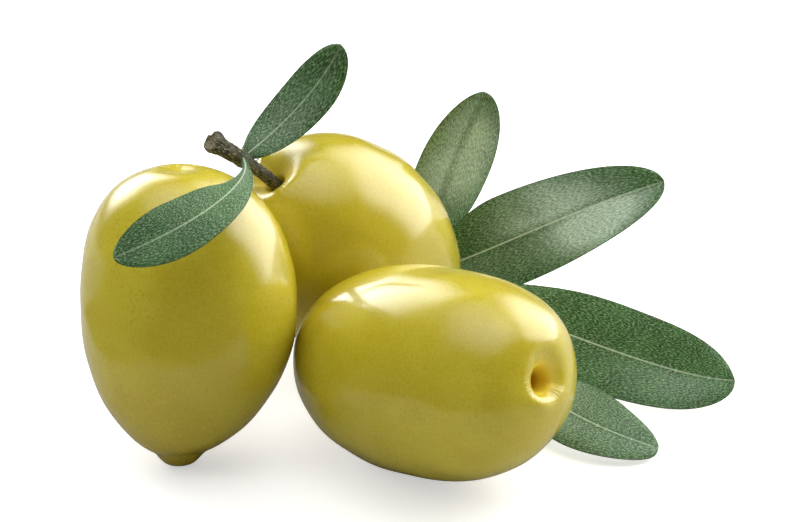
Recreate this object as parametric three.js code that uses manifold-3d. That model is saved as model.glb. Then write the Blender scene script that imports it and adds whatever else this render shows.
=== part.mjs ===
// A cut olive branch with three green table olives, lying on a flat surface.
// Millimetres, +Z up. The origin is on the surface, where the lying olive touches it; +X runs
// along the group's length towards the leaves, and +Y runs away from the lying olive.
import * as THREE from "three";
import { mergeVertices } from "three/addons/utils/BufferGeometryUtils.js";
import Module from "manifold-3d";

const wasm = await Module();
wasm.setup();

// ---- Driving dimensions: olives ----

const PRESSED = 0.2; // how deep each olive's skin is flattened where it rests

const OLIVE_SIDES = 36;
const OLIVE_RINGS = 14; // rings in each half of an olive
const RING_CROWDING = 1.35; // above 1, rings stand closer together towards an olive's ends
const LEAN_LOCALITY = 7; // higher keeps a leaning stem end's shift closer to the stem

// Each olive is measured along its own axis, stem end up: its half width, the length of its stem
// and tip halves, how full each half is (2 is an ellipse), how far its middle bulges aside, and
// how far its stem end leans back the other way.
// The hollow is the funnel round the stem end, and the pit is the narrow hole at its middle.
const TIP_NIPPLE = { radius: 2.5, length: 1.2, steepness: 5 };
const OLIVES = [
  {
    name: "olive_standing",
    body: { radius: 12.05, bulge: 1.4, lean: 0 },
    stemHalf: { length: 16.1, fullness: 2.28 },
    tipHalf: { length: 16.8, fullness: 1.89 },
    hollow: { radius: 2.6, depth: 1, pitRadius: 0.9, pitDepth: 0.6 },
    pose: { x: -25.45, y: 2, heading: 84.7, climb: 79, spin: -40 },
    colour: 0xb0a733,
  },
  {
    name: "olive_lying",
    body: { radius: 11.7, bulge: 0.6, lean: 1.5 },
    stemHalf: { length: 18.6, fullness: 2.4 },
    tipHalf: { length: 17.4, fullness: 2.2 },
    hollow: { radius: 2.5, depth: 1.7, pitRadius: 1.35, pitDepth: 4.2 },
    pose: { x: 2.1, y: -2.4, heading: -44.5, climb: 12, spin: 25 },
    colour: 0xb3a936,
  },
  {
    name: "olive_on_stalk",
    body: { radius: 12.2, bulge: 0.2, lean: 0 },
    stemHalf: { length: 16, fullness: 2 },
    tipHalf: { length: 17.7, fullness: 1.95 },
    hollow: { radius: 3.1, depth: 2.3, pitRadius: 1.6, pitDepth: 2.9 },
    pose: { x: -7.7, y: 24.75, heading: 218, climb: 47, spin: 126.5 },
    colour: 0xb5ac3a,
  },
];

// ---- Driving dimensions: twig and shoot ----

// The woody twig stands on the rear olive's axis: its fruit stalk fills the pit, its node carries
// the two small leaves, and its far end was broken from the tree. Places along it are shares of
// the way from the stalk's end to the broken end.
const TWIG_SIDES = 12;
const TWIG_STEPS = 22;
const STALK_SEAT = 1.3; // clear height between the stalk's end and the floor of the pit
const NODE_ABOVE_OLIVE = 4.4;
const NODE_ASIDE = [-0.25, 0, -0.35];
const BROKEN_END_FROM_NODE = [-3.4, -1.8, 2.95];
const STALK_RADIUS = 0.75;
const NODE = { radius: 1.05, at: 0.6, spread: 0.09 };
const UPPER_TWIG = { radius: 0.95, from: 0.5, to: 0.75 };
const BROKEN_END = { radius: 1.35, from: 0.86, to: 0.97 };
const BARK_LUMPS = { three: 0.1, five: 0.07, twist: 9, fading: 4 };

// The green shoot leaves the node backwards, arches over the rear olive's shoulder and comes down
// behind it, to the two close pairs of large leaves and the bud at its tip.
const SHOOT_SIDES = 10;
const SHOOT_STEPS = 34;
const SHOOT_RADIUS = { node: 0.7, tip: 0.55 };
const SHOOT_ROUTE = [
  [-18, 25.4, 28.1],
  [-16.8, 33.3, 24.1],
  [-13.7, 39.8, 15.5],
  [-8.5, 43.4, 7.2],
  [-3.7, 43.4, 2.8],
  [0.1, 41.4, 2.2],
];
const BUD = { radius: 0.75, steps: 8, reach: [1.8, -0.5, 0.3], from: 0.12, to: 0.96 };

// ---- Driving dimensions: leaves ----

const BLADE = 0.65; // a leaf blade's thickness
const RIB = 0.3; // how far the midrib stands out under the blade
const LEAF_STALK_RADIUS = 0.55;
const LEAF_POINT = 0.12; // half width of the blade's very tip
const CUP = 0.12; // rise of the blade's halves from the midrib, as a share of the half width
const EDGE_THINNING = 0.35; // how much of a round section's thinning a flat blade shows
const ACROSS = [-0.88, -0.45, 0, 0.45, 0.88]; // places between the edges, in half widths
const LEAF_STATIONS = 22;
const TIP_CROWDING = 1.4; // above 1, stations stand closer together towards the round tip

// Each leaf's midrib is one curve: it starts at the twig, heads for two guide points and ends at
// the tip. The blade has a full width, a widest place along it, and a taper towards each end
// (small is round, large is drawn out). Its upper side faces one way at the base, one at the tip.
const LEAVES = [
  {
    name: "leaf_small_upper",
    midrib: [[-17.7, 17.4, 30.5], [-17.3, 17.7, 30.5], [-11.1, 23.3, 33.4], [-7.7, 23, 40.8]],
    blade: { width: 5.4, widest: 0.7, baseTaper: 0.63, tipTaper: 0.56, stalkShare: 0.03 },
    faces: [[-0.34, -0.78, 0.53], [-0.23, -0.88, 0.42]],
    colour: 0x5f8459,
  },
  {
    name: "leaf_small_lower",
    midrib: [[-18.8, 14.4, 29.6], [-15.9, -5.8, 36.2], [-22.1, -11.5, 33.6], [-30.9, -13.5, 30.7]],
    blade: { width: 6.5, widest: 0.7, baseTaper: 2.1, tipTaper: 0.63, stalkShare: 0.03 },
    faces: [[-0.14, -0.49, 0.86], [0.09, -0.72, 0.69]],
    colour: 0x5f8459,
  },
  {
    name: "leaf_large_upright",
    midrib: [[-4.1, 42.7, 4.4], [2.2, 45.2, 4.1], [4.6, 44.1, 15.3], [9.1, 38.5, 29.1]],
    blade: { width: 9.3, widest: 0.68, baseTaper: 1.39, tipTaper: 0.61, stalkShare: 0.1 },
    faces: [[0.11, -0.97, 0.2], [0.31, -0.9, 0.29]],
    colour: 0x44663f,
  },
  {
    name: "leaf_large_raised",
    midrib: [[-1.9, 41.5, 3.6], [5.7, 36.1, 6.6], [18.1, 36.5, 14], [31.2, 38.4, 17.5]],
    blade: { width: 11.2, widest: 0.46, baseTaper: 1.66, tipTaper: 0.52, stalkShare: 0.08 },
    faces: [[0.11, -0.86, 0.5], [-0.09, -0.89, 0.46]],
    colour: 0x44663f,
  },
  {
    name: "leaf_large_spreading",
    midrib: [[1.6, 40.3, 3.3], [10.9, 26.5, 7], [28.7, 11.9, 3.8], [37.8, 12.8, 3.2]],
    blade: { width: 11.1, widest: 0.55, baseTaper: 1, tipTaper: 0.58, stalkShare: 0.08 },
    faces: [[-0.28, -0.7, 0.66], [-0.19, -0.72, 0.67]],
    colour: 0x44663f,
  },
  {
    name: "leaf_large_low",
    midrib: [[1.5, 40.1, 1.6], [13, 25.6, -1.2], [12.8, -0.8, 6.8], [28, 0.3, 0.9]],
    blade: { width: 8.3, widest: 0.72, baseTaper: 2, tipTaper: 0.47, stalkShare: 0.12 },
    faces: [[-0.31, -0.26, 0.91], [-0.22, -0.41, 0.88]],
    colour: 0x44663f,
  },
];

const SKIN_ROUGHNESS = 0.3;
const LEAF_ROUGHNESS = 0.5;
const BARK = { colour: 0x5d5648, roughness: 0.85 };

// ---- Shared shaping ----

const { clamp, degToRad, lerp, smoothstep } = THREE.MathUtils;
const range = (count) => Array.from({ length: count }, (_, index) => index);
const vector = ([x, y, z]) => new THREE.Vector3(x, y, z);

function mesh(name, geometry, colour, roughness) {
  const material = new THREE.MeshStandardMaterial({ color: colour, roughness, metalness: 0 });
  const made = new THREE.Mesh(geometry, material);
  made.name = name;
  return made;
}

function middleOf(ring) {
  const sum = new THREE.Vector3();
  ring.forEach((point) => sum.add(point));
  return sum.divideScalar(ring.length);
}

// A closed surface through rings of equally many points, with a middle point closing each end.
function loft(rings) {
  const sides = rings[0].length;
  const points = [...rings.flat(), middleOf(rings[0]), middleOf(rings.at(-1))];
  const startPoint = rings.length * sides;
  const endPoint = startPoint + 1;
  const lastRing = startPoint - sides;
  const faces = [];
  for (const side of range(sides)) {
    const next = (side + 1) % sides;
    for (const row of range(rings.length - 1)) {
      const a = row * sides + side;
      const b = row * sides + next;
      faces.push(a, b, b + sides, a, b + sides, a + sides);
    }
    faces.push(startPoint, next, side);
    faces.push(endPoint, lastRing + side, lastRing + next);
  }
  const geometry = new THREE.BufferGeometry().setFromPoints(points);
  geometry.setIndex(faces);
  return geometry;
}

// ---- Olives ----

// One point of a half's outline, at an angle from the olive's pole: its radius from the axis and
// its height from the widest place, before the ends get their features.
function outlinePoint(angle, bodyRadius, { length, fullness }) {
  const radius = bodyRadius * Math.sin(angle) ** (2 / fullness);
  const height = length * Math.cos(angle) ** (2 / fullness);
  return { radius, height };
}

const swell = (radius, reach, steepness) => Math.exp(-((radius / reach) ** steepness));

function oliveProfile({ body, stemHalf, tipHalf, hollow }) {
  const shares = range(OLIVE_RINGS + 1).map((ring) => (ring / OLIVE_RINGS) ** RING_CROWDING);
  const angles = shares.map((share) => (Math.PI / 2) * share);
  const tip = angles.map((angle) => {
    const { radius, height } = outlinePoint(angle, body.radius, tipHalf);
    const nipple = TIP_NIPPLE.length * swell(radius, TIP_NIPPLE.radius, TIP_NIPPLE.steepness);
    return new THREE.Vector2(radius, -height - nipple);
  });
  const stem = angles.slice(0, -1).map((angle) => {
    const { radius, height } = outlinePoint(angle, body.radius, stemHalf);
    const funnel = hollow.depth * swell(radius, hollow.radius, 2);
    const pit = hollow.pitDepth * swell(radius, hollow.pitRadius, 4);
    return new THREE.Vector2(radius, height - funnel - pit);
  });
  return [...tip, ...stem.reverse()];
}

// The olive's own frame has its stem end along +Z, and its middle bulges towards +X.
function oliveGeometry(olive) {
  const lathe = new THREE.LatheGeometry(oliveProfile(olive), OLIVE_SIDES);
  lathe.rotateX(Math.PI / 2);
  lathe.deleteAttribute("normal");
  lathe.deleteAttribute("uv");
  const skin = mergeVertices(lathe);
  const places = skin.getAttribute("position");
  const top = olive.stemHalf.length;
  const whole = top + olive.tipHalf.length;
  for (const i of range(places.count)) {
    const fromStem = clamp((top - places.getZ(i)) / whole, 0, 1);
    const bulge = olive.body.bulge * Math.sin(Math.PI * fromStem);
    const lean = olive.body.lean * (1 - fromStem) ** LEAN_LOCALITY;
    places.setX(i, places.getX(i) + bulge - lean);
  }
  return skin;
}

const Y_AXIS = new THREE.Vector3(0, 1, 0);
const Z_AXIS = new THREE.Vector3(0, 0, 1);
const turnAbout = (axis, angle) => new THREE.Quaternion().setFromAxisAngle(axis, degToRad(angle));

// Turns the olive's stem end to its heading and climb, and lowers it onto the surface, where its
// skin is pressed flat.
function restOnSurface(olive, { x, y, heading, climb, spin }) {
  const facing = turnAbout(Z_AXIS, heading);
  const tilt = turnAbout(Y_AXIS, 90 - climb);
  olive.quaternion.copy(facing.multiply(tilt).multiply(turnAbout(Z_AXIS, spin)));
  const places = olive.geometry.getAttribute("position");
  const turned = range(places.count).map((i) => {
    const place = new THREE.Vector3().fromBufferAttribute(places, i);
    return place.applyQuaternion(olive.quaternion);
  });
  const surface = Math.min(...turned.map((place) => place.z)) + PRESSED;
  olive.position.set(x, y, -surface);
  const back = olive.quaternion.clone().invert();
  turned.forEach((place, i) => {
    place.z = Math.max(place.z, surface);
    place.applyQuaternion(back);
    places.setXYZ(i, place.x, place.y, place.z);
  });
}

const branch = new THREE.Group();
for (const olive of OLIVES) {
  const made = mesh(olive.name, oliveGeometry(olive), olive.colour, SKIN_ROUGHNESS);
  restOnSurface(made, olive.pose);
  branch.add(made);
}

// ---- Twig and shoot ----

// A round stem along a smooth route, its radius given along it. A share of that radius may be
// added by lumps, given round and along it.
function stem(route, steps, sides, radiusAt, lumps = () => 0) {
  const curve = new THREE.CatmullRomCurve3(route);
  const frames = curve.computeFrenetFrames(steps, false);
  const rings = range(steps + 1).map((step) => {
    const along = step / steps;
    const centre = curve.getPointAt(along);
    return range(sides).map((side) => {
      const turn = (2 * Math.PI * side) / sides;
      const radius = radiusAt(along) * (1 + lumps(turn, along));
      const point = centre.clone();
      point.addScaledVector(frames.normals[step], radius * Math.cos(turn));
      return point.addScaledVector(frames.binormals[step], radius * Math.sin(turn));
    });
  });
  return loft(rings);
}

function solid(geometry) {
  const vertProperties = geometry.getAttribute("position").array;
  const triVerts = new Uint32Array(geometry.index.array);
  return new wasm.Manifold(new wasm.Mesh({ numProp: 3, vertProperties, triVerts }));
}

function geometryOf(manifold) {
  const { vertProperties, triVerts } = manifold.getMesh();
  const geometry = new THREE.BufferGeometry();
  geometry.setAttribute("position", new THREE.BufferAttribute(vertProperties, 3));
  geometry.setIndex(new THREE.BufferAttribute(triVerts, 1));
  return geometry;
}

function twigRadius(along) {
  const nodeSwell = (NODE.radius - STALK_RADIUS) * swell(along - NODE.at, NODE.spread, 2);
  const upperGain = UPPER_TWIG.radius - STALK_RADIUS;
  const upper = upperGain * smoothstep(along, UPPER_TWIG.from, UPPER_TWIG.to);
  const flareGain = BROKEN_END.radius - UPPER_TWIG.radius;
  const flare = flareGain * smoothstep(along, BROKEN_END.from, BROKEN_END.to);
  return STALK_RADIUS + Math.max(nodeSwell, upper) + flare;
}

// The bark is even on the fruit stalk and lumpy towards the broken end.
function barkLumps(turn, along) {
  const three = BARK_LUMPS.three * Math.sin(3 * turn);
  const five = BARK_LUMPS.five * Math.sin(5 * turn + BARK_LUMPS.twist * along);
  return along ** BARK_LUMPS.fading * (three + five);
}

const carrier = OLIVES.find((olive) => olive.name === "olive_on_stalk");
const carrierMesh = branch.getObjectByName(carrier.name);
const stemAxis = Z_AXIS.clone().applyQuaternion(carrierMesh.quaternion);
const onAxis = (height) => {
  const fromMiddle = carrier.stemHalf.length + height;
  return carrierMesh.position.clone().addScaledVector(stemAxis, fromMiddle);
};

const pitFloor = -(carrier.hollow.depth + carrier.hollow.pitDepth);
const node = onAxis(NODE_ABOVE_OLIVE).add(vector(NODE_ASIDE));
const brokenEnd = node.clone().add(vector(BROKEN_END_FROM_NODE));
const twigRoute = [onAxis(pitFloor + STALK_SEAT), onAxis(0), node, brokenEnd];
const twig = stem(twigRoute, TWIG_STEPS, TWIG_SIDES, twigRadius, barkLumps);

const shootRoute = [node, ...SHOOT_ROUTE.map(vector)];
const shootRadius = (along) => lerp(SHOOT_RADIUS.node, SHOOT_RADIUS.tip, along);
const shoot = stem(shootRoute, SHOOT_STEPS, SHOOT_SIDES, shootRadius);

const shootEnd = shootRoute.at(-1);
const budRoute = [shootEnd, shootEnd.clone().add(vector(BUD.reach))];
const budRadius = (along) => BUD.radius * Math.sin(Math.PI * lerp(BUD.from, BUD.to, along));
const bud = stem(budRoute, BUD.steps, SHOOT_SIDES, budRadius);

const wood = solid(twig).add(solid(shoot)).add(solid(bud));
branch.add(mesh("branch", geometryOf(wood), BARK.colour, BARK.roughness));

// ---- Leaves ----

// Half width of the leaf at a share of its length: the stalk, a taper out of it, and a round tip.
function halfWidth(blade, along) {
  const place = (along - blade.stalkShare) / (1 - blade.stalkShare);
  if (place <= 0) {
    return LEAF_STALK_RADIUS;
  }
  const beforeWidest = place < blade.widest;
  const reach = beforeWidest ? blade.widest : 1 - blade.widest;
  const taper = beforeWidest ? blade.baseTaper : blade.tipTaper;
  const away = Math.abs(place - blade.widest) / reach;
  const half = (blade.width / 2) * (1 - away ** 2) ** taper;
  return Math.max(half, LEAF_STALK_RADIUS * (1 - place), LEAF_POINT);
}

// A leaf is round at its stalk and flat, thin and slightly cupped in its blade.
function leafGeometry({ midrib, blade, faces }) {
  const curve = new THREE.CubicBezierCurve3(...midrib.map(vector));
  const [baseFace, tipFace] = faces.map((face) => vector(face).normalize());
  const rings = range(LEAF_STATIONS + 1).map((station) => {
    const along = 1 - (1 - station / LEAF_STATIONS) ** TIP_CROWDING;
    const centre = curve.getPoint(along);
    const tangent = curve.getTangent(along);
    const face = baseFace.clone().lerp(tipFace, along).projectOnPlane(tangent).normalize();
    const aside = new THREE.Vector3().crossVectors(tangent, face);
    const half = halfWidth(blade, along);
    const flat = smoothstep(along, 0.5 * blade.stalkShare, 2 * blade.stalkShare);
    const thickness = lerp(2 * LEAF_STALK_RADIUS, BLADE, flat) / 2;
    const thinning = lerp(1, EDGE_THINNING, flat);
    const cup = half * CUP * flat;
    const rib = RIB * flat * (1 - along);
    const place = (share, height) => {
      const point = centre.clone().addScaledVector(aside, half * share);
      return point.addScaledVector(face, cup * Math.abs(share) + height);
    };
    const section = ACROSS.map((share) => thickness * Math.sqrt(1 - share ** 2 * thinning));
    const upper = ACROSS.map((share, i) => place(share, section[i]));
    const lower = ACROSS.map((share, i) => place(share, -section[i] - (share === 0 ? rib : 0)));
    return [place(-1, 0), ...upper, place(1, 0), ...lower.reverse()];
  });
  return loft(rings);
}

for (const leaf of LEAVES) {
  branch.add(mesh(leaf.name, leafGeometry(leaf), leaf.colour, LEAF_ROUGHNESS));
}

export default branch;
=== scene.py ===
import math

import bpy
import numpy as np
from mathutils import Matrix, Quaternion, Vector, noise


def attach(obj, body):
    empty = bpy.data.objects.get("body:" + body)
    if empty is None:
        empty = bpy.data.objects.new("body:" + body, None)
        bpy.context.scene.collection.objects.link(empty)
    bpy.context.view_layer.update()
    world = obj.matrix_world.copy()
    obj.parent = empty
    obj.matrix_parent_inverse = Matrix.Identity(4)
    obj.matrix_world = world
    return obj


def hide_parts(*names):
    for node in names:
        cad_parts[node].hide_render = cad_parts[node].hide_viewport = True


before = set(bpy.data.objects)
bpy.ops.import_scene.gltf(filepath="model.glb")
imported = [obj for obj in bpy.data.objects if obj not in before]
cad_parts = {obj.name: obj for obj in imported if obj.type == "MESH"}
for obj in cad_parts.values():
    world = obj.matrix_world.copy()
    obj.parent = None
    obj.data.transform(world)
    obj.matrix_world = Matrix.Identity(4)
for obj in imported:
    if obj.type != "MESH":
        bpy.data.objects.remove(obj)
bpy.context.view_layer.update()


# ---- The three olives ----
# Green table olives, cured whole: firm flesh under a thin waxy skin. The stem hollow puckers where
# the stalk was set, and the tip ends in a blunt nipple. Each rests on a small spot pressed flat.

MM = 0.001

# Lengths are in millimetres, and directions in degrees round the stem's axis.
#   stem_half, tip_half: length from the widest place to that end, and how full the outline is
#   bulge, lean: how far the middle bows aside, and how far the stem end leans back
#   hollow: depth round the stem; pit: reach, depth, distance aside and direction of its deep middle
#   rim: marks round the hollow's edge, each a direction, a reach and a steepness
#   nose: a low swelling beside the hollow: direction, distance out, length, width and height, 0 if none
#   folds: distance out, width and height of the pucker, and how many folds its waves have
#   dulls_over: the depths in the hollow over which the skin loses its shine
#   place: where its middle is on the table; heading, climb, spin: how the stem end points and is turned
OLIVES = {
    "olive_standing": {
        "radius": 12.05, "bulge": 1.4, "lean": 0, "stem_half": (16.1, 2.28), "tip_half": (16.8, 1.89),
        "hollow": 0.55, "pit": (1.0, 0, 0, 0), "nose": (0, 0, 1, 1, 0), "dulls_over": (0.3, 1.5),
        "rim": [
            (20, 1.5, 2), (80, 1.4, 2), (130, 1.7, 2), (171, 2.3, 2), (215, 2.3, 2), (267, 1.9, 2),
            (320, 1.7, 2),
        ],
        "folds": (1.6, 0.8, 0.014, (9, 14, 21)),
        "place": (-25.45, 2.0), "heading": 84.7, "climb": 79, "spin": -40,
    },
    "olive_lying": {
        "radius": 11.7, "bulge": 0.6, "lean": 1.5, "stem_half": (18.6, 2.4), "tip_half": (17.4, 2.2),
        "hollow": 2.4, "pit": (1.15, 2.8, 0.15, 53), "nose": (312, 2.7, 1.8, 1.0, 0.4),
        "dulls_over": (0.3, 1.5),
        "rim": [
            (4, 2.2, 2), (53, 2.6, 2), (95, 2.6, 2), (138, 2.5, 1.9), (165, 2.1, 1.9), (200, 1.65, 2),
            (225, 1.6, 2), (255, 1.6, 2), (282, 1.65, 2), (310, 1.6, 2), (337, 1.7, 2),
        ],
        "folds": (2.3, 1.0, 0.024, (37, 49, 58)),
        "place": (2.1, -2.4), "heading": -44.5, "climb": 12, "spin": 25,
    },
    "olive_on_stalk": {
        "radius": 12.2, "bulge": 0.2, "lean": 0, "stem_half": (16.0, 2.0), "tip_half": (17.7, 1.95),
        "hollow": 2.2, "pit": (0.95, 1.7, 0, 0), "nose": (0, 0, 1, 1, 0), "dulls_over": (0.1, 0.8),
        "rim": [
            (2, 2.4, 2), (20, 2.7, 2), (45, 3.0, 2), (90, 3.1, 2), (150, 2.7, 2), (206, 1.9, 2),
            (250, 1.8, 2), (270, 1.75, 2), (300, 1.7, 2), (335, 1.95, 2),
        ],
        "folds": (2.8, 1.1, 0.012, (23, 31, 43)),
        "place": (-7.7, 24.75), "heading": 218, "climb": 47, "spin": 126.5,
    },
}
OLIVE_SIDES = 260
STEM_RINGS = 170
TIP_RINGS = 80
STEM_CROWDING = 1.9  # rings crowd towards the ends, where the outline turns quickly
TIP_CROWDING = 1.25
NIPPLE_RADIUS = 2.5
NIPPLE_LENGTH = 1.2
NIPPLE_STEEPNESS = 5
PIT_STEEPNESS = 4
LEAN_LOCALITY = 7
RIM_SHARPNESS = 14
FOLD_WANDER = 0.5
PRESSED = 0.2
SKIN_LUMP = 0.05
SKIN_LUMP_WAVELENGTHS = (5.0, 9.0)
RANDOM_START = 6.3  # the most radians that a random pattern is turned by

rng = np.random.default_rng(7)


def waves(points, height, wavelengths, count=24):
    """Soft random lumps over points in millimetres: a sum of plane waves, at most about height."""
    directions = rng.normal(size=(count, 3))
    directions /= np.linalg.norm(directions, axis=1)[:, None]
    lengths = rng.uniform(*wavelengths, size=count)
    phases = rng.uniform(0, 2 * math.pi, size=count)
    angles = points @ (directions * (2 * math.pi / lengths)[:, None]).T + phases
    return height * np.sin(angles).sum(axis=-1) / math.sqrt(count)


def into_scene(name, data):
    """A new object in the scene that holds this mesh, light or camera."""
    made = bpy.data.objects.new(name, data)
    bpy.context.scene.collection.objects.link(made)
    return made


def mesh_from_rings(name, rings):
    """A closed mesh through rings of points in millimetres, each end closed on its middle point."""
    count, sides, _ = rings.shape
    points = np.vstack([rings.reshape(-1, 3), rings[0].mean(axis=0), rings[-1].mean(axis=0)])
    start, end = count * sides, count * sides + 1
    side = np.arange(sides)
    following = (side + 1) % sides
    row = np.arange(count - 1)[:, None] * sides
    quads = np.stack([row + side, row + following, row + sides + following, row + sides + side], axis=-1)
    last = (count - 1) * sides
    faces = quads.reshape(-1, 4).tolist()
    faces += [[start, int(b), int(a)] for a, b in zip(side, following)]
    faces += [[end, int(last + a), int(last + b)] for a, b in zip(side, following)]
    mesh = bpy.data.meshes.new(name)
    mesh.from_pydata((points * MM).tolist(), [], faces)
    mesh.polygons.foreach_set("use_smooth", [True] * len(mesh.polygons))
    return into_scene(name, mesh)


def paint(piece, name, values):
    """Stores one number a point, for the materials; the two end points take their ring's mean."""
    flat = np.concatenate([values.reshape(-1), [values[0].mean(), values[-1].mean()]])
    attribute = piece.data.attributes.new(name, "FLOAT", "POINT")
    attribute.data.foreach_set("value", flat.astype(np.float32))


def smooth(value, low, high):
    """0 up to low and 1 from high on, with a soft start and end between them."""
    share = np.clip((value - low) / (high - low), 0, 1)
    return share * share * (3 - 2 * share)


def pole_swell(radius, reach, steepness):
    """1 on the axis and 0 well beyond reach; a higher steepness gives a flatter top."""
    return np.exp(-((radius / reach) ** steepness))


def around(direction, marks):
    """Smooth values for each direction round a hollow, from marks of (degrees, value, value)."""
    weights = [np.exp(RIM_SHARPNESS * (np.cos(direction - math.radians(mark[0])) - 1)) for mark in marks]
    return [
        sum(weight * mark[which] for weight, mark in zip(weights, marks)) / sum(weights)
        for which in (1, 2)
    ]


def olive_piece(node, size):
    """One olive as a closed mesh in its place, painted with what its skin needs to know."""
    turn = np.arange(OLIVE_SIDES) * 2 * math.pi / OLIVE_SIDES

    def half(length, fullness, rings, crowding):
        angle = (np.arange(1, rings + 1) / rings) ** crowding * math.pi / 2
        return size["radius"] * np.sin(angle) ** (2 / fullness), length * np.cos(angle) ** (2 / fullness)

    tip_radius, tip_height = half(*size["tip_half"], TIP_RINGS, TIP_CROWDING)
    tip_height = tip_height + NIPPLE_LENGTH * pole_swell(tip_radius, NIPPLE_RADIUS, NIPPLE_STEEPNESS)
    stem_radius, stem_height = half(*size["stem_half"], STEM_RINGS, STEM_CROWDING)
    radius = np.concatenate([tip_radius, stem_radius[-2::-1]])[:, None] + 0 * turn
    height = np.concatenate([-tip_height, stem_height[-2::-1]])[:, None] + 0 * turn
    stem_side = (height > 0).astype(float)

    # The hollow: a funnel with a deeper pit in it, a nose beside it and fine folds on its rim.
    funnel = pole_swell(radius, *around(turn, size["rim"]))
    pit_reach, pit_depth, aside, direction = size["pit"]
    pit_x = aside * math.cos(math.radians(direction))
    pit_y = aside * math.sin(math.radians(direction))
    from_pit = np.hypot(radius * np.cos(turn) - pit_x, radius * np.sin(turn) - pit_y)
    pit = pole_swell(from_pit, pit_reach, PIT_STEEPNESS)
    direction, at, length, width, nose_height = size["nose"]
    off = (turn - math.radians(direction) + math.pi) % (2 * math.pi) - math.pi
    nose = nose_height * np.exp(-((off * at / length) ** 2) - ((radius - at) / width) ** 2)
    fold_at, fold_width, fold_height, counts = size["folds"]
    folds = sum(
        np.cos(count * turn + rng.uniform(0, RANDOM_START) + FOLD_WANDER * np.sin(3 * turn + count))
        for count in counts
    ) / len(counts)
    fold = fold_height * folds * np.exp(-(((radius - fold_at) / fold_width) ** 2))
    sunk = size["hollow"] * funnel + pit_depth * pit
    level = height + stem_side * (nose + fold - sunk)

    length = size["stem_half"][0] + size["tip_half"][0]
    from_stem = np.clip((size["stem_half"][0] - level) / length, 0, 1)
    aside = size["bulge"] * np.sin(math.pi * from_stem) - size["lean"] * (1 - from_stem) ** LEAN_LOCALITY
    points = np.stack([radius * np.cos(turn) + aside, radius * np.sin(turn), level], axis=-1)
    lumps = waves(points, SKIN_LUMP, SKIN_LUMP_WAVELENGTHS)[..., None]
    points = points * (1 + lumps / size["radius"])

    heading = Quaternion((0, 0, 1), math.radians(size["heading"]))
    tilt = Quaternion((0, 1, 0), math.radians(90 - size["climb"]))
    spin = Quaternion((0, 0, 1), math.radians(size["spin"]))
    points = points @ np.array((heading @ tilt @ spin).to_matrix()).T
    points[..., 2] -= points[..., 2].min() + PRESSED
    points[..., 2] = np.maximum(points[..., 2], 0)
    points[..., :2] += size["place"]

    piece = mesh_from_rings(node + "_skin", points)
    paint(piece, "sunk", stem_side * sunk)
    paint(piece, "dull", stem_side * smooth(sunk, *size["dulls_over"]))
    paint(piece, "from_stem", from_stem)
    return piece


def linear(hex_colour):
    """An sRGB hex colour as the linear red, green, blue and alpha that shaders take."""
    channels = [int(hex_colour[i:i + 2], 16) / 255 for i in (1, 3, 5)]
    light = [value / 12.92 if value <= 0.04045 else ((value + 0.055) / 1.055) ** 2.4 for value in channels]
    return light + [1]


def add(tree, kind, inputs=(), **settings):
    """Adds a shader node. inputs are (socket name or number, value or the socket to link from)."""
    made = tree.nodes.new(kind)
    for name, value in settings.items():
        setattr(made, name, value)
    for socket, value in dict(inputs).items():
        if isinstance(value, bpy.types.NodeSocket):
            tree.links.new(value, made.inputs[socket])
        elif isinstance(value, str):
            made.inputs[socket].default_value = linear(value)
        else:
            made.inputs[socket].default_value = value
    return made


def layered(tree, colour, layers):
    """Lays colours over a first one. A layer is (value, (start, full), colour): it begins to cover
    where the value passes start, and hides what is under it where the value reaches full. A layer
    with None for the pair covers by the value itself."""
    for value, span, cover in layers:
        share = value
        if span:
            stretch = {"Value": value, "From Min": span[0], "From Max": span[1]}
            share = add(tree, "ShaderNodeMapRange", stretch, interpolation_type="SMOOTHSTEP").outputs[0]
        colour = add(tree, "ShaderNodeMix", {0: share, 6: colour, 7: cover}, data_type="RGBA").outputs[2]
    return colour


def new_material(name):
    material = bpy.data.materials.new(name)
    material.use_nodes = True
    tree = material.node_tree
    tree.nodes.clear()
    return material, tree


def per_metre(millimetres):
    """The texture scale that gives a pattern this size in millimetres."""
    return 1 / (millimetres * MM)


# Waxy olive skin: smooth and semi-glossy, the flesh under it scattering light a little way in. The
# hollow is duller and paler gold, partly a yellower skin and partly painted light on its walls, and
# brown at the bottom. The pores are finer than a pixel, so they are drawn at twice their size.
SKIN_PORE = 0.16
SKIN_PORE_DRAWN = 2 * SKIN_PORE
SKIN_CLOUD = 7.0

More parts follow.
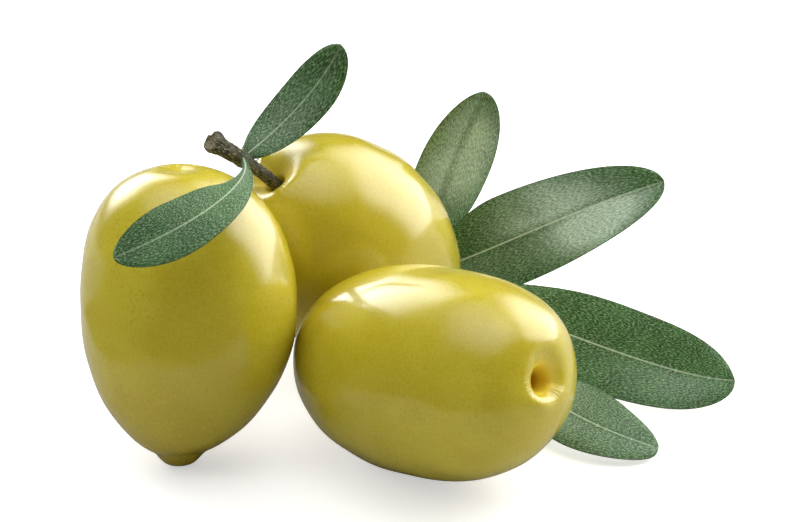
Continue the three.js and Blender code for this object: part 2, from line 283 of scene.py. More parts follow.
skin_material, tree = new_material("cured olive skin, waxy")
place = add(tree, "ShaderNodeTexCoord").outputs["Object"]
cloud_sizes = {"Vector": place, "Scale": per_metre(SKIN_CLOUD), "Detail": 3}
cloud = add(tree, "ShaderNodeTexNoise", cloud_sizes).outputs[0]
pore_sizes = {"Vector": place, "Scale": per_metre(SKIN_PORE_DRAWN), "Detail": 3}
pores = add(tree, "ShaderNodeTexNoise", pore_sizes).outputs[0]
sunk, dull, from_stem = [
    add(tree, "ShaderNodeAttribute", attribute_name=name).outputs["Fac"]
    for name in ("sunk", "dull", "from_stem")
]
bumps = add(tree, "ShaderNodeBump", {"Strength": 0.2, "Distance": 0.06 * MM, "Height": pores}).outputs[0]
skin = add(tree, "ShaderNodeBsdfPrincipled", {
    "Base Color": layered(tree, "#c0b026", [
        (cloud, (0.35, 0.65), "#c9bb34"),
        (from_stem, (0.55, 1.1), "#b5a22a"),
        (pores, (0.5, 0.8), "#ccbe3a"),
        (pores, (0.5, 0.2), "#b7a31a"),
        # Partly yellower skin and partly painted light: the hollow's walls are paler gold.
        (sunk, (0.3, 1.6), "#ecd344"),
        (sunk, (2.6, 5.0), "#bd650c"),
    ]),
    "Roughness": add(tree, "ShaderNodeMapRange", {"Value": dull, "To Min": 0.2, "To Max": 0.45}).outputs[0],
    "IOR": 1.55,
    "Subsurface Weight": 0.5,
    "Subsurface Radius": (1.0, 0.75, 0.15),
    "Subsurface Scale": 1.3 * MM,
    "Coat Weight": add(tree, "ShaderNodeMapRange", {"Value": dull, "To Min": 0.6, "To Max": 0.1}).outputs[0],
    "Coat Roughness": 0.1,
    "Normal": bumps,
})
add(tree, "ShaderNodeOutputMaterial", {"Surface": skin.outputs[0]})

for node, size in OLIVES.items():
    olive = olive_piece(node, size)
    olive.data.materials.append(skin_material)
    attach(olive, "root")
    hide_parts(node)


# ---- The woody twig ----
# A short piece of last year's wood: the rear olive's stalk, a swollen node and a thicker end that
# was torn off the tree and flares. Dry grey-brown bark with pale flecks, ridged along its length.

TWIG_SIDES = 56
TWIG_STEPS = 190
STALK_SEAT = 1.3
NODE_ABOVE_OLIVE = 4.4
NODE_ASIDE = np.array([-0.25, 0, -0.35])
BROKEN_END_FROM_NODE = np.array([-3.4, -1.8, 2.95])
STALK_RADIUS = 0.72
NODE_SWELL = 0.28
WOOD_THICKER = 0.27
FLARE = 0.3
TORN_EDGE_THINNER = 0.16
BARK_RIDGE = 0.035
BARK_RIDGE_COUNTS = (7, 11, 17)
BARK_RIDGE_TWIST = 3
BARK_GRAIN = 0.045
TORN_GRAIN = 0.14
# Shares of the twig's length, from the stalk's foot to the torn end.
NODE_AT = 0.6
NODE_SPREAD = 0.08
WOOD_THICKENS = (0.5, 0.75)
FLARES = (0.84, 0.94)
EDGE_THINS = (0.96, 1.0)
TORN_GRAIN_GROWS = (0.8, 0.95)


def centripetal_route(route, count, steps_between=40):
    """Evenly spaced points on the smooth curve through a route's points, a Catmull-Rom spline."""
    route = [np.array(point, float) for point in route]
    knots = [2 * route[0] - route[1], *route, 2 * route[-1] - route[-2]]
    points = []
    for p0, p1, p2, p3 in zip(knots, knots[1:], knots[2:], knots[3:]):
        t1 = np.linalg.norm(p1 - p0) ** 0.5
        t2 = t1 + np.linalg.norm(p2 - p1) ** 0.5
        t3 = t2 + np.linalg.norm(p3 - p2) ** 0.5
        t = np.linspace(t1, t2, steps_between, endpoint=False)[:, None]
        a1 = (t1 - t) / t1 * p0 + t / t1 * p1
        a2 = (t2 - t) / (t2 - t1) * p1 + (t - t1) / (t2 - t1) * p2
        a3 = (t3 - t) / (t3 - t2) * p2 + (t - t2) / (t3 - t2) * p3
        b1 = (t2 - t) / t2 * a1 + t / t2 * a2
        b2 = (t3 - t) / (t3 - t1) * a2 + (t - t1) / (t3 - t1) * a3
        points.append((t2 - t) / (t2 - t1) * b1 + (t - t1) / (t2 - t1) * b2)
    dense = np.vstack([*points, route[-1]])
    travelled = np.concatenate([[0], np.cumsum(np.linalg.norm(np.diff(dense, axis=0), axis=1))])
    wanted = np.linspace(0, travelled[-1], count)
    return np.stack([np.interp(wanted, travelled, dense[:, axis]) for axis in range(3)], axis=-1)


def directions_across(centres):
    """Two steady directions across a route at each of its points, carried along without twisting."""
    tangents = np.gradient(centres, axis=0)
    tangents /= np.linalg.norm(tangents, axis=1)[:, None]
    across = np.cross(tangents[0], (0.3, 0.2, 0.9))
    firsts = []
    for tangent in tangents:
        across = across - tangent * (across @ tangent)
        across /= np.linalg.norm(across)
        firsts.append(across)
    firsts = np.array(firsts)
    return firsts, np.cross(tangents, firsts)


def round_stem(centres, radii, sides):
    """Rings of a round stem; radii has one value a ring, or one a point."""
    firsts, seconds = directions_across(centres)
    turn = np.arange(sides) * 2 * math.pi / sides
    radii = np.broadcast_to(np.reshape(radii, (len(centres), -1)), (len(centres), sides))[..., None]
    spokes = firsts[:, None] * np.cos(turn)[:, None] + seconds[:, None] * np.sin(turn)[:, None]
    return centres[:, None] + radii * spokes


def rough(points, wavelength, seed):
    """Blender's own noise at each point in millimetres, about -1 to 1."""
    offset = Vector((seed, seed * 0.7, seed * 0.3))
    flat = [noise.noise(Vector(point) / wavelength + offset) for point in points.reshape(-1, 3)]
    return np.array(flat).reshape(points.shape[:-1])


# The twig stands in the rear olive, so its place follows from that olive's axis.
carrier = OLIVES["olive_on_stalk"]
heading = math.radians(carrier["heading"])
climb = math.radians(carrier["climb"])
stem_axis = np.array([
    math.cos(climb) * math.cos(heading), math.cos(climb) * math.sin(heading), math.sin(climb),
])
carrier_points = np.array([vertex.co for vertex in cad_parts["olive_on_stalk"].data.vertices]) / MM
tip_end = (carrier_points @ stem_axis).min()
carrier_height = tip_end + carrier["tip_half"][0] + NIPPLE_LENGTH
carrier_middle = np.array([*carrier["place"], 0.0])
carrier_middle[2] = (carrier_height - carrier_middle @ stem_axis) / stem_axis[2]


def on_axis(height):
    """The point on the rear olive's axis at a height above its stem end."""
    return carrier_middle + stem_axis * (carrier["stem_half"][0] + height)


pit_floor = -(carrier["hollow"] + carrier["pit"][1])
stalk_foot = on_axis(pit_floor + STALK_SEAT)
twig_node = on_axis(NODE_ABOVE_OLIVE) + NODE_ASIDE
torn_end = twig_node + BROKEN_END_FROM_NODE
twig_centres = centripetal_route([stalk_foot, on_axis(0), twig_node, torn_end], TWIG_STEPS)

along = np.linspace(0, 1, TWIG_STEPS)
node_swell = NODE_SWELL * np.exp(-(((along - NODE_AT) / NODE_SPREAD) ** 2))
twig_radii = STALK_RADIUS + np.maximum(node_swell, WOOD_THICKER * smooth(along, *WOOD_THICKENS))
twig_radii = twig_radii + FLARE * smooth(along, *FLARES) - TORN_EDGE_THINNER * smooth(along, *EDGE_THINS)
turn = np.arange(TWIG_SIDES) * 2 * math.pi / TWIG_SIDES
twist = BARK_RIDGE_TWIST * along[:, None]
ridges = sum(
    np.cos(count * turn + rng.uniform(0, RANDOM_START) + twist) for count in BARK_RIDGE_COUNTS
) / len(BARK_RIDGE_COUNTS)
# The wood is round at its stalk, and less and less so towards the torn end.
out_of_round = 0.1 * np.sin(3 * turn) + 0.07 * np.sin(5 * turn + 9 * along[:, None])
twig_radii = twig_radii[:, None] * (1 + along[:, None] ** 4 * out_of_round) + BARK_RIDGE * ridges
smooth_rings = round_stem(twig_centres, twig_radii, TWIG_SIDES)
fine_grain = rough(smooth_rings, wavelength=0.35, seed=3) + 0.5 * rough(smooth_rings, wavelength=0.15, seed=5)
near_tear = smooth(along, *TORN_GRAIN_GROWS)[:, None]
torn_grain = TORN_GRAIN * rough(smooth_rings, wavelength=0.7, seed=9) * near_tear
twig_rings = round_stem(twig_centres, twig_radii + (BARK_GRAIN * fine_grain + torn_grain), TWIG_SIDES)

# The torn end: its rim is jagged, and its face is a rough shallow bowl.
FACE_SHARES = (0.86, 0.7, 0.52, 0.34, 0.16)
FACE_DEPTH = 0.35
FACE_ROUGHNESS = 0.42
RIM_ROUGHNESS = 0.18
tear_axis = twig_centres[-1] - twig_centres[-2]
tear_axis /= np.linalg.norm(tear_axis)
rim = twig_rings[-1]
middle = rim.mean(axis=0)
face_rings = []
for share in FACE_SHARES:
    ring = middle + (rim - middle) * share
    depth = FACE_DEPTH * (1 - share ** 2) + FACE_ROUGHNESS * rough(ring, wavelength=0.4, seed=11)
    face_rings.append(ring - tear_axis * depth[:, None])
rim_height = RIM_ROUGHNESS * rough(rim, wavelength=0.5, seed=13)
twig_rings[-1] += tear_axis * rim_height[:, None]
twig_rings = np.concatenate([twig_rings, np.array(face_rings)])

# Dry bark: dull and rough, grey over brown, with pale flecks and dark cracks that run along the
# wood, a tenth of a millimetre wide and five times as long. The torn wood is paler.
BARK_FLECK = 0.1
BARK_STRETCH = 5
BARK_PATCH = 1.1
TORN_SHARE = 0.8
GREEN_SHARE = 0.55
GREEN_SPREAD = 0.07
FACE_GRAIN_NARROWS = 0.7
FACE_GRAIN_STEP = 0.2

bark_material, tree = new_material("dry grey-brown bark, rough")
place = add(tree, "ShaderNodeTexCoord").outputs["Object"]
patch_sizes = {"Vector": place, "Scale": per_metre(BARK_PATCH), "Detail": 5}
patches = add(tree, "ShaderNodeTexNoise", patch_sizes).outputs[0]
wood_x, wood_y, wood_z, torn, green = [
    add(tree, "ShaderNodeAttribute", attribute_name=name).outputs["Fac"]
    for name in ("wood_x", "wood_y", "wood_z", "torn", "green")
]
along_the_wood = add(tree, "ShaderNodeCombineXYZ", {"X": wood_x, "Y": wood_y, "Z": wood_z}).outputs[0]
fleck_sizes = {"Vector": along_the_wood, "Scale": 1 / BARK_FLECK, "Detail": 3, "Roughness": 0.65}
flecks = add(tree, "ShaderNodeTexNoise", fleck_sizes).outputs[0]
bumps = add(tree, "ShaderNodeBump", {"Strength": 0.8, "Distance": 0.12 * MM, "Height": flecks}).outputs[0]
bark = add(tree, "ShaderNodeBsdfPrincipled", {
    "Base Color": layered(tree, "#35342a", [
        (patches, (0.35, 0.65), "#5c5a48"),
        (torn, None, "#8d846d"),
        (flecks, (0.54, 0.68), "#aaa48c"),
        (flecks, (0.47, 0.34), "#17160f"),
        (green, None, "#4f6243"),
    ]),
    "Roughness": 0.85,
    "Normal": bumps,
})
add(tree, "ShaderNodeOutputMaterial", {"Surface": bark.outputs[0]})

# The flecks' pattern lies round the wood and is stretched along it, so each point is given a place
# on a straight stem that is shortened by that stretch.
twig = mesh_from_rings("woody_twig", twig_rings)
every_side = np.zeros(TWIG_SIDES)
steps = np.concatenate([along, np.full(len(face_rings), 1.0)])[:, None] + every_side
is_face = np.concatenate([np.zeros(TWIG_STEPS), np.ones(len(face_rings))])[:, None] + every_side
twig_length = np.linalg.norm(np.diff(twig_centres, axis=0), axis=1).sum()
bark_radius = STALK_RADIUS * (1 - FACE_GRAIN_NARROWS * is_face)
paint(twig, "torn", TORN_SHARE * is_face)
paint(twig, "green", GREEN_SHARE * np.exp(-(((steps - NODE_AT) / GREEN_SPREAD) ** 2)))
paint(twig, "wood_x", bark_radius * np.cos(turn))
paint(twig, "wood_y", bark_radius * np.sin(turn))
paint(twig, "wood_z", steps * twig_length / BARK_STRETCH + FACE_GRAIN_STEP * np.cumsum(is_face, axis=0))
twig.data.materials.append(bark_material)
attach(twig, "root")
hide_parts("branch")


# ---- The green shoot ----
# This year's growth: a thin soft stem that leaves the node, arches over the rear olive's shoulder
# and ends behind it in a bud between the two pairs of large leaves.

SHOOT_ROUTE = [
    (-18, 25.4, 28.1), (-16.8, 33.3, 24.1), (-13.7, 39.8, 15.5),
    (-8.5, 43.4, 7.2), (-3.7, 43.4, 2.8), (0.1, 41.4, 2.2),
]
SHOOT_STEPS = 260
SHOOT_SIDES = 24
SHOOT_RADIUS = 0.7
SHOOT_TAPER = 0.15
SHOOT_LUMP = 0.03
LEAF_NODE_SWELL = 0.14
LEAF_NODE_AT = 0.93
LEAF_NODE_SPREAD = 0.02
BUD_REACH = np.array([1.8, -0.5, 0.3])
BUD_STEPS = 40
BUD_RADIUS = 0.75
BUD_FOOT = 0.12
BUD_STRETCH = 0.86
BUD_SCALE_STEP = 0.08
BUD_SCALE_WAVES = 9

shoot_centres = centripetal_route([twig_node, *SHOOT_ROUTE], SHOOT_STEPS)
along = np.linspace(0, 1, SHOOT_STEPS)
node_swell = LEAF_NODE_SWELL * np.exp(-(((along - LEAF_NODE_AT) / LEAF_NODE_SPREAD) ** 2))
shoot_radii = SHOOT_RADIUS - SHOOT_TAPER * along + node_swell
shoot_rings = round_stem(shoot_centres, shoot_radii, SHOOT_SIDES)
shoot_lumps = SHOOT_LUMP * rough(shoot_rings, wavelength=0.8, seed=17)
shoot_rings = round_stem(shoot_centres, shoot_radii[:, None] + shoot_lumps, SHOOT_SIDES)

along = np.linspace(0, 1, BUD_STEPS)
bud_centres = shoot_centres[-1] + along[:, None] * BUD_REACH
bud_scales = 1 + BUD_SCALE_STEP * np.sin(BUD_SCALE_WAVES * math.pi * along)
bud_outline = np.sin(math.pi * (BUD_FOOT + BUD_STRETCH * along))
bud_radii = BUD_RADIUS * bud_outline * bud_scales

# Shoot rind: green and satin, mottled with grey-green.
RIND_PATCH = 1.5

rind_material, tree = new_material("green shoot rind, satin")
place = add(tree, "ShaderNodeTexCoord").outputs["Object"]
patch_sizes = {"Vector": place, "Scale": per_metre(RIND_PATCH), "Detail": 4}
patches = add(tree, "ShaderNodeTexNoise", patch_sizes).outputs[0]
bumps = add(tree, "ShaderNodeBump", {"Strength": 0.3, "Distance": 0.1 * MM, "Height": patches}).outputs[0]
rind = add(tree, "ShaderNodeBsdfPrincipled", {
    "Base Color": layered(tree, "#5d6b42", [(patches, (0.35, 0.65), "#84916a")]),
    "Roughness": 0.55,
    "Normal": bumps,
})
add(tree, "ShaderNodeOutputMaterial", {"Surface": rind.outputs[0]})

shoot = mesh_from_rings("green_shoot", shoot_rings)
bud = mesh_from_rings("leaf_bud", round_stem(bud_centres, bud_radii, SHOOT_SIDES))
for piece in (shoot, bud):
    piece.data.materials.append(rind_material)
    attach(piece, "root")
    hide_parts("branch")


# ---- The leaves ----
# Six leathery evergreen leaves, each one piece with its midrib and the short stalk that it grows on,
# which starts inside the wood. They are dark grey-green and finely scaled above and silvery below,
# and their margins turn slightly under.

# Lengths are in millimetres, and shares run from 0 at the wood to 1 at the tip.
#   midrib: four points that steer its curve, from the wood to the tip
#   blade: width, share at the widest place, taper to the stalk, taper to the tip, share of stalk
#   faces: the way that the upper side faces at the wood and at the tip
#   rib: how pale the midrib is
#   painted_sheen: patches of painted sheen, pale colour for satin highlights, each a share along, a spread, a
#       side (1 or -1) and a strength
LEAVES = {
    "leaf_small_upper": {
        "midrib": [(-18.3, 17.0, 30.0), (-17.4, 17.7, 30.4), (-11.1, 23.3, 33.4), (-7.7, 23.0, 40.8)],
        "blade": (6.0, 0.7, 0.7, 0.5, 0.03), "faces": [(-0.34, -0.78, 0.53), (-0.23, -0.88, 0.42)],
        "rib": 0.6, "painted_sheen": [(0.5, 0.3, 1, 0.2), (0.4, 0.3, -1, 0.25)], "age": "young",
    },
    "leaf_small_lower": {
        "midrib": [(-18.7, 15.2, 28.9), (-15.9, -5.8, 36.2), (-22.1, -11.5, 33.6), (-30.9, -13.5, 30.7)],
        "blade": (6.5, 0.7, 1.6, 0.54, 0.03), "faces": [(-0.14, -0.49, 0.86), (0.09, -0.72, 0.69)],
        "rib": 0.6, "painted_sheen": [(0.3, 0.12, -1, 0.1)], "age": "young",
    },
    "leaf_large_upright": {
        "midrib": [(-4.1, 42.7, 4.4), (2.2, 45.2, 4.1), (4.6, 44.1, 15.3), (9.1, 38.5, 29.1)],
        "blade": (9.3, 0.68, 1.39, 0.52, 0.1), "faces": [(0.11, -0.97, 0.2), (0.31, -0.9, 0.29)],
        "rib": 0.1, "painted_sheen": [(0.7, 0.28, -1, 1.1), (0.75, 0.18, 1, 1.6)], "age": "mature",
    },
    "leaf_large_raised": {
        "midrib": [(-1.9, 41.5, 3.6), (5.7, 36.1, 6.6), (18.1, 36.5, 14.0), (31.2, 38.4, 17.5)],
        "blade": (11.2, 0.46, 1.66, 0.5, 0.08), "faces": [(0.11, -0.86, 0.5), (-0.09, -0.89, 0.46)],
        "rib": 1.0, "painted_sheen": [(0.78, 0.14, 1, 2.2), (0.66, 0.17, -1, 1.2), (0.4, 0.2, 1, 0.2)],
        "age": "mature",
    },
    "leaf_large_spreading": {
        "midrib": [(1.6, 40.3, 3.3), (10.9, 26.5, 7.0), (28.7, 11.9, 3.8), (37.8, 12.8, 3.2)],
        "blade": (11.1, 0.55, 1.0, 0.52, 0.08), "faces": [(-0.28, -0.7, 0.66), (-0.19, -0.72, 0.67)],
        "rib": 0.8, "painted_sheen": [(0.8, 0.15, 1, 0.25)], "age": "mature",
    },
    "leaf_large_low": {
        "midrib": [(1.5, 40.1, 1.6), (13.0, 25.6, -1.2), (12.8, -0.8, 6.8), (28.0, 0.3, 0.9)],
        "blade": (8.3, 0.72, 2.0, 0.47, 0.12), "faces": [(-0.31, -0.26, 0.91), (-0.22, -0.41, 0.88)],
        "rib": 0.9, "painted_sheen": [(0.6, 0.4, 1, 0.3), (0.6, 0.4, -1, 0.3)], "age": "mature",
    },
}
LEAF_STATIONS = 170
LEAF_ACROSS = 26
LEAF_TIP_CROWDING = 1.4
FLATTENS = (0.5, 2)  # in lengths of its stalk from the wood
STALK_THICK = 0.42
BLADE_THICK = 0.42
EDGE_THICK = 0.16
EDGE_BLUNTNESS = 0.75
LEAF_POINT = 0.1
CUP = 0.12
CUP_ROUNDING = 0.1
EDGE_ROLL = 0.12
EDGE_ROLLS = (0.72, 1.0)
RIPPLE = 0.16
RIPPLE_LENGTH = 2.3
RIPPLE_OFFSET = 1.1
RIPPLE_START = 4
RIB_WIDTH = 0.42
RIB_BELOW = 0.28
RIB_TAPER = 0.7
RIB_FADE = 0.3
GROOVE_WIDTH = 0.15
GROOVE_DEPTH = 0.04
# Painted shade over the upper side of each blade near its base: how dark, and where it fades.
BASE_SHADE = 0.7
BASE_SHADE_ENDS = (0.04, 0.3)
# How the painted sheen, pale colour for satin highlights, fades beside the midrib and towards the edge.
SHEEN_FROM_RIB = 0.12
SHEEN_LOST_AT_EDGE = 0.75

wood_centres = np.concatenate([twig_centres, shoot_centres, bud_centres])


def leaf_half_width(blade, along):
    """Half the width at each share along: a thin stalk, then a blade that swells and tapers."""
    width, widest, base_taper, tip_taper, stalk_share = blade
    place = np.clip((along - stalk_share) / (1 - stalk_share), 0, 1)
    before = place < widest
    away = np.where(before, (widest - place) / widest, (place - widest) / (1 - widest))
    taper = np.clip(1 - away ** 2, 0, 1) ** np.where(before, base_taper, tip_taper)
    return np.maximum(np.maximum(width / 2 * taper, STALK_THICK * (1 - place)), LEAF_POINT)


def leaf_piece(node, leaf):
    """One leaf as a closed mesh in its place, painted with what its surface needs to know."""
    # The midrib's curve, which starts at the nearest place inside the wood, and the way up beside it.
    along = (1 - (1 - np.linspace(0, 1, LEAF_STATIONS)) ** LEAF_TIP_CROWDING)[:, None]
    rest = 1 - along
    root, second, third, tip = [np.array(point, float) for point in leaf["midrib"]]
    root = wood_centres[np.linalg.norm(wood_centres - root, axis=1).argmin()]
    centres = rest ** 3 * root + 3 * rest ** 2 * along * second
    centres = centres + 3 * rest * along ** 2 * third + along ** 3 * tip
    tangents = rest ** 2 * (second - root) + 2 * rest * along * (third - second)
    tangents = tangents + along ** 2 * (tip - third)
    tangents /= np.linalg.norm(tangents, axis=1)[:, None]
    base_face, tip_face = [np.array(face) / np.linalg.norm(face) for face in leaf["faces"]]
    faces = base_face * rest + tip_face * along
    faces -= tangents * (faces * tangents).sum(axis=1)[:, None]
    faces /= np.linalg.norm(faces, axis=1)[:, None]
    asides = np.cross(tangents, faces)

    # The section across it: a round stalk that flattens into a cupped blade with rolled margins.
    half = leaf_half_width(leaf["blade"], along)
    stalk_share = leaf["blade"][-1]
    flat = smooth(along, FLATTENS[0] * stalk_share, FLATTENS[1] * stalk_share)
    share = np.sin(np.linspace(-math.pi / 2, math.pi / 2, LEAF_ACROSS))
    travelled = along * np.linalg.norm(np.diff(centres, axis=0), axis=1).sum()
    mm_across = half * share
    flat_thick = BLADE_THICK + (EDGE_THICK - BLADE_THICK) * share ** 2
    thick = (1 - flat) * 2 * STALK_THICK + flat * flat_thick
    edge = np.sqrt(np.clip(1 - share ** 2, 0, 1) ** (1 - EDGE_BLUNTNESS * flat))
    cup = CUP * half * (np.sqrt(share ** 2 + CUP_ROUNDING ** 2) - CUP_ROUNDING) * flat
    roll = EDGE_ROLL * smooth(np.abs(share), *EDGE_ROLLS) * flat
    ripple_start = RIPPLE_START * base_face[0]
    ripple_phase = travelled / RIPPLE_LENGTH + np.sign(share) * RIPPLE_OFFSET + ripple_start
    ripple = RIPPLE * flat * share ** 2 * np.sin(ripple_phase)
    middle_height = cup - roll + ripple
    groove = GROOVE_DEPTH * np.exp(-((mm_across / GROOVE_WIDTH) ** 2)) * flat
    rib = RIB_BELOW * np.exp(-((mm_across / RIB_WIDTH) ** 2)) * flat * rest ** RIB_TAPER

    def surface(height):
        return centres[:, None] + asides[:, None] * mm_across[..., None] + faces[:, None] * height[..., None]

    def both(values_upper, values_lower):
        """One ring of values a station: over the upper side and back under the lower one."""
        return np.concatenate([values_upper, values_lower[:, ::-1][:, 1:-1]], axis=1)

    upper = surface(middle_height + thick / 2 * edge - groove)
    lower = surface(middle_height - thick / 2 * edge - rib)
    piece = mesh_from_rings(node + "_blade", both(upper, lower))

    zeros = np.zeros_like(mm_across)
    paint(piece, "across", both(mm_across, mm_across))
    paint(piece, "along", both(travelled + zeros, travelled + zeros))
    paint(piece, "share", both(np.abs(share) + zeros, np.abs(share) + zeros))
    paint(piece, "underside", both(zeros, zeros + 1))
    # The stalk's own dark green, and painted shade over the upper side of the blade near its base.
    base_shade = np.maximum(1 - flat, BASE_SHADE * (1 - smooth(along, *BASE_SHADE_ENDS)))
    paint(piece, "stalk", both(base_shade + zeros, 1 - flat + zeros))
    # Painted sheen: pale patches on the upper side that stand in for the satin highlights.
    painted_sheen = zeros
    for middle, spread, side, strength in leaf["painted_sheen"]:
        lengthwise = np.exp(-(((along - middle) / spread) ** 2))
        crosswise = smooth(side * share, 0, SHEEN_FROM_RIB) * (1 - SHEEN_LOST_AT_EDGE * share ** 2)
        painted_sheen = painted_sheen + strength * lengthwise * crosswise
    paint(piece, "painted_sheen", both(painted_sheen, zeros))
    rib_paleness = leaf["rib"] * rest ** RIB_FADE + zeros
    paint(piece, "rib", both(rib_paleness, rib_paleness))
    return piece


# Olive leaf: a thick cutin layer gives a satin sheen, pale scales give short light flecks that slant
# away from the midrib, and painted sheen, pale colour standing in for satin highlights, clouds the
# blade in places. The scales are round and too fine to show, so rows of them are drawn as streaks
# 0.1 mm wide and 0.4 mm long.
SCALE_WIDTH = 0.1
SCALE_LENGTH = 0.42
SCALE_SLANT = 50
RIB_LINE_FADES = (0.13, 0.03)
LEAF_PATCH = 3.5
SHEEN_CLOUD = 5


def leaf_material(name, dark, light, fleck):
    material, tree = new_material(name)
    across, along, share, underside, stalk, rib, painted_sheen = [
        add(tree, "ShaderNodeAttribute", attribute_name=attribute).outputs["Fac"]
        for attribute in ("across", "along", "share", "underside", "stalk", "rib", "painted_sheen")
    ]
    place = add(tree, "ShaderNodeTexCoord").outputs["Object"]
    side = add(tree, "ShaderNodeMath", {0: across}, operation="ABSOLUTE").outputs[0]
    flat = add(tree, "ShaderNodeCombineXYZ", {"X": side, "Y": along}).outputs[0]
    slanted = add(tree, "ShaderNodeMapping", {
        "Vector": flat,
        "Rotation": (0, 0, math.radians(SCALE_SLANT)),
        "Scale": (1 / SCALE_WIDTH, 1 / SCALE_LENGTH, 1),
    }).outputs[0]
    scale_sizes = {"Vector": slanted, "Scale": 1, "Detail": 3, "Roughness": 0.6}
    scales = add(tree, "ShaderNodeTexNoise", scale_sizes).outputs[0]
    patch_sizes = {"Vector": place, "Scale": per_metre(LEAF_PATCH), "Detail": 4}
    patches = add(tree, "ShaderNodeTexNoise", patch_sizes).outputs[0]
    rib_line = add(tree, "ShaderNodeMapRange", {
        "Value": side, "From Min": RIB_LINE_FADES[0], "From Max": RIB_LINE_FADES[1], "To Max": rib,
    }).outputs[0]

    # The painted sheen, pale colour for satin highlights, comes in soft clouds, and is thinner in the dark
    # gaps between the scales.
    cloud_sizes = {"Vector": place, "Scale": per_metre(SHEEN_CLOUD), "Detail": 2}
    clouds = add(tree, "ShaderNodeTexNoise", cloud_sizes).outputs[0]
    stretch = {"Value": clouds, "From Min": -0.2, "From Max": 0.65}
    cloudy = add(tree, "ShaderNodeMapRange", stretch, interpolation_type="SMOOTHSTEP").outputs[0]
    clouded = add(tree, "ShaderNodeMath", {0: painted_sheen, 1: cloudy}, operation="MULTIPLY", use_clamp=True)
    stretch = {"Value": scales, "From Min": 0.35, "From Max": 0.65, "To Min": 0.3, "To Max": 1.0}
    on_scales = add(tree, "ShaderNodeMapRange", stretch).outputs[0]
    shares = {0: clouded.outputs[0], 1: on_scales}
    painted_sheen = add(tree, "ShaderNodeMath", shares, operation="MULTIPLY").outputs[0]

    bump_sizes = {"Strength": 0.35, "Distance": 0.08 * MM, "Height": scales}
    bumps = add(tree, "ShaderNodeBump", bump_sizes).outputs[0]
    blade = add(tree, "ShaderNodeBsdfPrincipled", {
        "Base Color": layered(tree, dark, [
            (patches, (0.35, 0.65), light),
            (scales, (0.5, 0.66), fleck),
            (scales, (0.5, 0.36), "#132d0d"),
            # Painted sheen: pale colour for the satin highlights.
            (painted_sheen, None, "#d8eedb"),
            (share, (0.965, 0.995), "#3f4a34"),
            (underside, None, layered(tree, "#8d9b7a", [(scales, (0.35, 0.65), "#b9c1a8")])),
            # The stalk's own dark green, and painted shade near the base of the blade.
            (stalk, None, "#2c4726"),
            (rib_line, None, "#d4e2c6"),
        ]),
        "Roughness": 0.5,
        "IOR": 1.36,
        "Subsurface Weight": 0.1,
        "Subsurface Radius": (0.4, 1.0, 0.2),
        "Subsurface Scale": 0.4 * MM,
        "Normal": bumps,
    })
    add(tree, "ShaderNodeOutputMaterial", {"Surface": blade.outputs[0]})
    return material


leaf_materials = {
    "mature": leaf_material("mature olive leaf, satin", "#2c5323", "#3e6934", "#8db07c"),
    "young": leaf_material("young olive leaf, satin", "#2f5427", "#426a39", "#8eae80"),
}
for node, leaf in LEAVES.items():
    blade = leaf_piece(node, leaf)
    blade.data.materials.append(leaf_materials[leaf["age"]])
    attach(blade, "root")
    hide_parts(node)


# ---- The table and the light ----
# A matt white table with two large softboxes at its back corners, and two weak fills, at the left
# and overhead. Each light fades out towards its edges. The room is dim, and brighter overhead.

TABLE_HALF = 1.5
TABLE_GLOW = 0.54


def flat_sheet(name, corners, height, faces):
    """A level sheet in the scene, from its corners, height and faces, in metres."""
    mesh = bpy.data.meshes.new(name)
    mesh.from_pydata([(x, y, height) for x, y in corners], [], faces)
    return into_scene(name, mesh)


# Matt acrylic: even white with no shine. A little light of its own keeps it white to the camera, and
# it is greyer where it shows in the olives' gloss.
table_corners = [(x * TABLE_HALF, y * TABLE_HALF) for x, y in ((-1, -1), (1, -1), (1, 1), (-1, 1))]
table = flat_sheet("white_table", table_corners, 0, [(0, 1, 2, 3)])
table_material, tree = new_material("matt white acrylic")
rays = add(tree, "ShaderNodeLightPath").outputs
glow = add(tree, "ShaderNodeMath", {0: rays["Is Camera Ray"], 1: TABLE_GLOW}, operation="MULTIPLY").outputs[0]
acrylic = add(tree, "ShaderNodeBsdfPrincipled", {
    "Base Color": layered(tree, "#dddddd", [(rays["Is Glossy Ray"], None, "#909090")]),
    "Roughness": 0.7,
    "Emission Color": "#ffffff",
    "Emission Strength": glow,
})
add(tree, "ShaderNodeOutputMaterial", {"Surface": acrylic.outputs[0]})
table.data.materials.append(table_material)

# A black card lies on the table in front of the group and along its left side, hidden from the
# camera, so that only a small bright patch of table shows in the gloss of the olives' lower halves.
# Matt card: almost black, with no shine.
CARD_FRONT = -0.047
CARD_LEFT = -0.066
CARD_BACK = 0.03
CARD_REACH = 0.6
CARD_THICK = 0.0002
card_corners = [
    (-CARD_REACH, -CARD_REACH), (CARD_REACH, -CARD_REACH), (CARD_REACH, CARD_FRONT),
    (CARD_LEFT, CARD_FRONT), (CARD_LEFT, CARD_BACK), (-CARD_REACH, CARD_BACK),
]
card = flat_sheet("black_card", card_corners, CARD_THICK, [(0, 1, 2, 3), (0, 3, 4, 5)])
card_material, tree = new_material("matt black card")
black = add(tree, "ShaderNodeBsdfPrincipled", {"Base Color": "#1c1c1c", "Roughness": 0.9})
add(tree, "ShaderNodeOutputMaterial", {"Surface": black.outputs[0]})
card.data.materials.append(card_material)
card.visible_camera = False
card.visible_diffuse = False
card.visible_shadow = False

GROUP_MIDDLE = Vector((0.0, 12.0, 12.0)) * MM


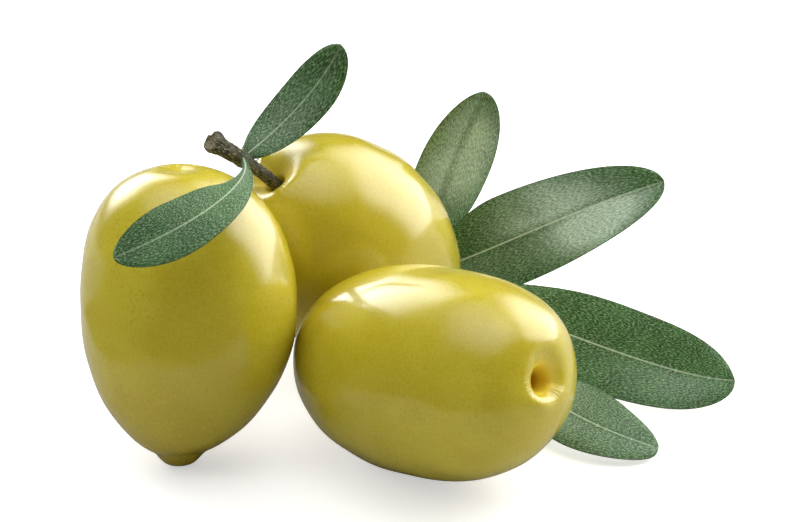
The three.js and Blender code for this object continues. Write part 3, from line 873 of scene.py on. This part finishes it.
def softbox(name, azimuth, elevation, distance, width, height, power, fades):
    """An area light facing the group. Azimuth 0 is behind it and 90 to its right. fades are the
    shares of its width and height over which it dims, at its two sides, its bottom and its top."""
    turn, climb = math.radians(azimuth), math.radians(elevation)
    direction = Vector((math.sin(turn) * math.cos(climb), math.cos(turn) * math.cos(climb), math.sin(climb)))
    light = bpy.data.lights.new(name, "AREA")
    light.shape = "RECTANGLE"
    light.size = width
    light.size_y = height
    light.energy = power
    light.use_nodes = True
    tree = light.node_tree
    tree.nodes.clear()
    place = add(tree, "ShaderNodeNewGeometry").outputs["Parametric"]
    split = add(tree, "ShaderNodeSeparateXYZ", {0: place})
    strength = 1.0
    for axis, edge, fade in zip("XXYY", (0, 1, 0, 1), fades):
        inner = edge + (fade if edge == 0 else -fade)
        stretch = {"Value": split.outputs[axis], "From Min": edge, "From Max": inner}
        dimmed = add(tree, "ShaderNodeMapRange", stretch, interpolation_type="SMOOTHSTEP").outputs[0]
        strength = add(tree, "ShaderNodeMath", {0: dimmed, 1: strength}, operation="MULTIPLY").outputs[0]
    glow = add(tree, "ShaderNodeEmission", {"Color": "#fffdfa", "Strength": strength})
    add(tree, "ShaderNodeOutputLight", {"Surface": glow.outputs[0]})
    box = into_scene(name, light)
    box.location = GROUP_MIDDLE + direction * distance
    box.rotation_euler = direction.to_track_quat("Z", "Y").to_euler()
    box.visible_camera = False
    return box


softbox(
    "softbox_right", azimuth=58, elevation=33, distance=0.45, width=0.88, height=0.6, power=6.8,
    fades=(0.3, 0.38, 0.06, 0.35),
)
softbox(
    "softbox_left", azimuth=-35, elevation=25, distance=0.45, width=0.5, height=0.42, power=4.6,
    fades=(0.45, 0.4, 0.4, 0.45),
)
fill_left = softbox(
    "fill_left", azimuth=-115, elevation=40, distance=0.6, width=0.3, height=0.3, power=1.1,
    fades=(0.3, 0.3, 0.3, 0.3),
)
fill_top = softbox(
    "fill_top", azimuth=0, elevation=88, distance=0.6, width=0.4, height=0.4, power=0.5,
    fades=(0.3, 0.3, 0.3, 0.3),
)
for fill in (fill_left, fill_top):
    fill.visible_glossy = False

ROOM_LIGHT = 0.08
OVERHEAD_LIGHT = 2.0
OVERHEAD_BETWEEN = (0.7, 0.98)
ROOM_SEEN = 0.9
world = bpy.data.worlds.new("studio")
world.use_nodes = True
tree = world.node_tree
backdrop = tree.nodes["Background"]
backdrop.inputs["Color"].default_value = linear("#ffffff")
direction = add(tree, "ShaderNodeTexCoord").outputs["Generated"]
height = add(tree, "ShaderNodeSeparateXYZ", {0: direction}).outputs["Z"]
overhead = add(tree, "ShaderNodeMapRange", {
    "Value": height,
    "From Min": OVERHEAD_BETWEEN[0],
    "From Max": OVERHEAD_BETWEEN[1],
    "To Min": ROOM_LIGHT,
    "To Max": OVERHEAD_LIGHT,
}).outputs[0]
seen = add(tree, "ShaderNodeLightPath").outputs["Is Camera Ray"]
brightness = add(tree, "ShaderNodeMix", {0: seen, 2: overhead, 3: ROOM_SEEN}).outputs[0]
tree.links.new(brightness, backdrop.inputs["Strength"])
bpy.context.scene.world = world
bpy.context.scene.view_settings.view_transform = "Standard"


# ---- The camera ----
# A 135 mm lens a third of a metre in front of the group, looking 24 degrees down at it, with
# everything in focus.

CAMERA_PLACE = Vector((-1.37, -295.97, 158.53)) * MM
CAMERA_TARGET = Vector((-1.37, 5.31, 21.86)) * MM

camera_data = bpy.data.cameras.new("camera")
camera_data.lens = 135
camera_data.sensor_width = 36
camera_data.clip_start = 0.01
camera = into_scene("camera", camera_data)
camera.location = CAMERA_PLACE
camera.rotation_euler = (CAMERA_PLACE - CAMERA_TARGET).to_track_quat("Z", "Y").to_euler()
bpy.context.scene.camera = camera
